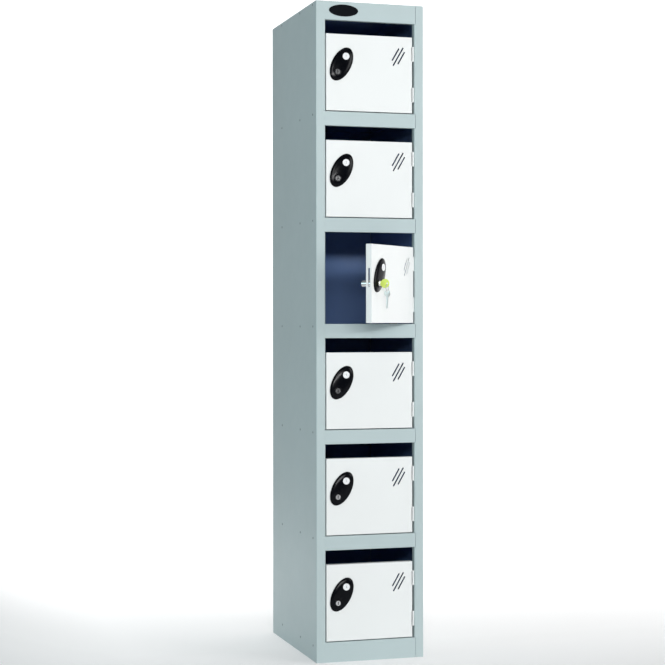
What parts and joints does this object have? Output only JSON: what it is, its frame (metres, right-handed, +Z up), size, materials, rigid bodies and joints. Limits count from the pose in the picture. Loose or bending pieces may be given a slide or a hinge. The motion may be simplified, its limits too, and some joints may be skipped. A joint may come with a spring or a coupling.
{
  "type": "post locker",
  "caption": "Tall narrow steel post locker: stacked compartments, each with a hinged cam-locked door under an open letter slot, one door ajar with a key and ring.",
  "frame": {"origin": "centre of the carcass's underside, on the base's bottom face; the open door stands forward of it", "axes": "+Z up the locker's height, -Y out of the door side, +X towards the doors' hinges"},
  "size_m": [0.3062, 0.6394, 1.78],
  "materials": {
    "body_paint": "semi-gloss pale blue-grey powder coat",
    "door_paint": "semi-gloss white powder coat",
    "black_gloss": "gloss black moulded plastic",
    "disc_white": "satin pale disc",
    "chrome": "nickel plated die casting",
    "steel": "zinc plated steel",
    "rubber": "matt black rubber",
    "key_plastic": "yellow-green moulded key head"
  },
  "bodies": {
    "carcass": {"left_side_panel": "body_paint", "right_side_panel": "body_paint", "back_panel": "body_paint", "top_panel": "body_paint", "base_panel": "body_paint", "shelf_1": "body_paint", "shelf_2": "body_paint", "shelf_3": "body_paint", "shelf_4": "body_paint", "shelf_5": "body_paint", "emblem_plate": "black_gloss", "body_rivets": "body_paint", "hinge_frame_leaves": "door_paint", "hinge_pins": "steel", "door_buffers": "rubber"},
    "door_1": {"door_panel_1": "door_paint", "door_hinge_leaves_1": "door_paint", "escutcheon_1": "black_gloss", "number_disc_1": "disc_white", "lock_body_1": "chrome"},
    "lock_1": {"lock_plug_1": "chrome", "lock_cam_1": "steel"},
    "door_2": {"door_panel_2": "door_paint", "door_hinge_leaves_2": "door_paint", "escutcheon_2": "black_gloss", "number_disc_2": "disc_white", "lock_body_2": "chrome"},
    "lock_2": {"lock_plug_2": "chrome", "lock_cam_2": "steel"},
    "door_3": {"door_panel_3": "door_paint", "door_hinge_leaves_3": "door_paint", "escutcheon_3": "black_gloss", "number_disc_3": "disc_white", "lock_body_3": "chrome"},
    "lock_3": {"lock_plug_3": "chrome", "lock_cam_3": "steel", "key": "key_plastic"},
    "door_4": {"door_panel_4": "door_paint", "door_hinge_leaves_4": "door_paint", "escutcheon_4": "black_gloss", "number_disc_4": "disc_white", "lock_body_4": "chrome"},
    "lock_4": {"lock_plug_4": "chrome", "lock_cam_4": "steel"},
    "door_5": {"door_panel_5": "door_paint", "door_hinge_leaves_5": "door_paint", "escutcheon_5": "black_gloss", "number_disc_5": "disc_white", "lock_body_5": "chrome"},
    "lock_5": {"lock_plug_5": "chrome", "lock_cam_5": "steel"},
    "door_6": {"door_panel_6": "door_paint", "door_hinge_leaves_6": "door_paint", "escutcheon_6": "black_gloss", "number_disc_6": "disc_white", "lock_body_6": "chrome"},
    "lock_6": {"lock_plug_6": "chrome", "lock_cam_6": "steel"},
    "key_ring": {"key_ring": "steel"},
    "spare_key": {"spare_key": "steel"}
  },
  "joints": [
    {"name": "door_1_hinge", "type": "hinge", "parent": "carcass", "child": "door_1", "pos_m": [0.1237, -0.2272, 1.589], "axis": [0, 0, 1], "range_deg": [0, 105]},
    {"name": "door_2_hinge", "type": "hinge", "parent": "carcass", "child": "door_2", "pos_m": [0.1237, -0.2272, 1.303], "axis": [0, 0, 1], "range_deg": [0, 105]},
    {"name": "door_3_hinge", "type": "hinge", "parent": "carcass", "child": "door_3", "pos_m": [0.1237, -0.2272, 1.017], "axis": [0, 0, 1], "range_deg": [-44.2, 60.8]},
    {"name": "door_4_hinge", "type": "hinge", "parent": "carcass", "child": "door_4", "pos_m": [0.1237, -0.2272, 0.731], "axis": [0, 0, 1], "range_deg": [0, 105]},
    {"name": "door_5_hinge", "type": "hinge", "parent": "carcass", "child": "door_5", "pos_m": [0.1237, -0.2272, 0.445], "axis": [0, 0, 1], "range_deg": [0, 105]},
    {"name": "door_6_hinge", "type": "hinge", "parent": "carcass", "child": "door_6", "pos_m": [0.1237, -0.2272, 0.159], "axis": [0, 0, 1], "range_deg": [0, 105]},
    {"name": "lock_1_turn", "type": "hinge", "parent": "door_1", "child": "lock_1", "pos_m": [-0.0936, -0.23, 1.5898], "axis": [0, -1, 0], "range_deg": [0, 90]},
    {"name": "lock_2_turn", "type": "hinge", "parent": "door_2", "child": "lock_2", "pos_m": [-0.0936, -0.23, 1.3038], "axis": [0, -1, 0], "range_deg": [0, 90]},
    {"name": "lock_3_turn", "type": "hinge", "parent": "door_3", "child": "lock_3", "pos_m": [-0.03013, -0.3807, 1.0178], "axis": [0.6972, -0.7169, 0], "range_deg": [0, 90]},
    {"name": "lock_4_turn", "type": "hinge", "parent": "door_4", "child": "lock_4", "pos_m": [-0.0936, -0.23, 0.7318], "axis": [0, -1, 0], "range_deg": [0, 90]},
    {"name": "lock_5_turn", "type": "hinge", "parent": "door_5", "child": "lock_5", "pos_m": [-0.0936, -0.23, 0.4458], "axis": [0, -1, 0], "range_deg": [0, 90]},
    {"name": "lock_6_turn", "type": "hinge", "parent": "door_6", "child": "lock_6", "pos_m": [-0.0936, -0.23, 0.1598], "axis": [0, -1, 0], "range_deg": [0, 90]},
    {"name": "key_ring_swing", "type": "hinge", "parent": "lock_3", "child": "key_ring", "pos_m": [-0.00957, -0.40185, 1.01595], "axis": [-0.7169, -0.6972, 0], "range_deg": [-8, 40]},
    {"name": "spare_key_swing", "type": "hinge", "parent": "key_ring", "child": "spare_key", "pos_m": [-0.00957, -0.40185, 0.99895], "axis": [-0.7169, -0.6972, 0], "range_deg": [-8, 40]}
  ]
}
